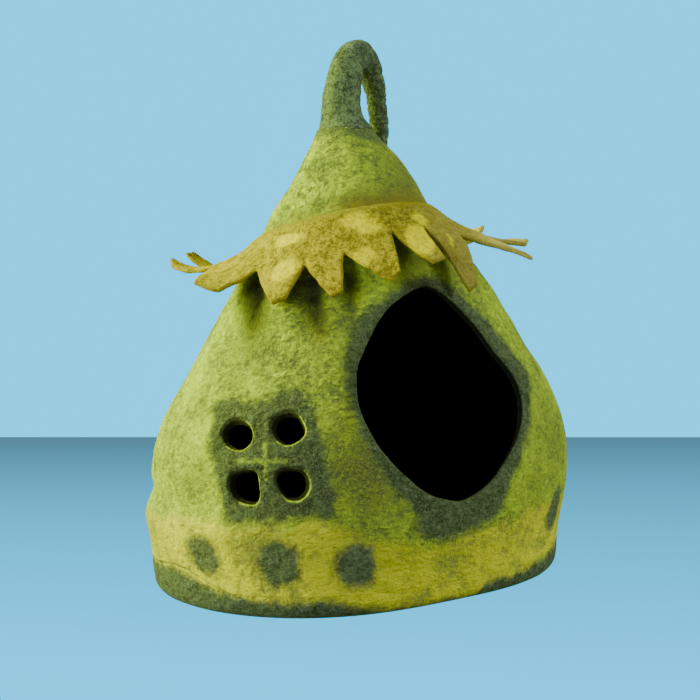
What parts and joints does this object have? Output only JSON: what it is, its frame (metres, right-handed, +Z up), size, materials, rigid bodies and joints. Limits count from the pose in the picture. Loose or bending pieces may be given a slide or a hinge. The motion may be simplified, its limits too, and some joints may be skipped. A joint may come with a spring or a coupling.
{
  "type": "felt cat cave",
  "caption": "Hollow bell-shaped felt cave for a cat, with an entrance, a four-hole window, a leaf collar and a looped stalk to lift it by.",
  "frame": {"origin": "middle of the flat underside", "axes": "+Z up, -Y towards the side with the entrance and the window, +X to the right seen from that side"},
  "size_m": [0.4397, 0.4268, 0.5554],
  "materials": {
    "body_felt": "matt wet-felted wool in mottled lime green, with dark green patches round its holes and a yellow band and dark spots at its foot",
    "collar_felt": "matt felt sheet in mottled ochre with pale yellow patches",
    "stalk_felt": "matt rolled felt in dark mottled green"
  },
  "bodies": {
    "root": {"cave_body": "body_felt", "leaf_collar": "collar_felt", "stalk_loop": "stalk_felt"}
  },
  "joints": []
}
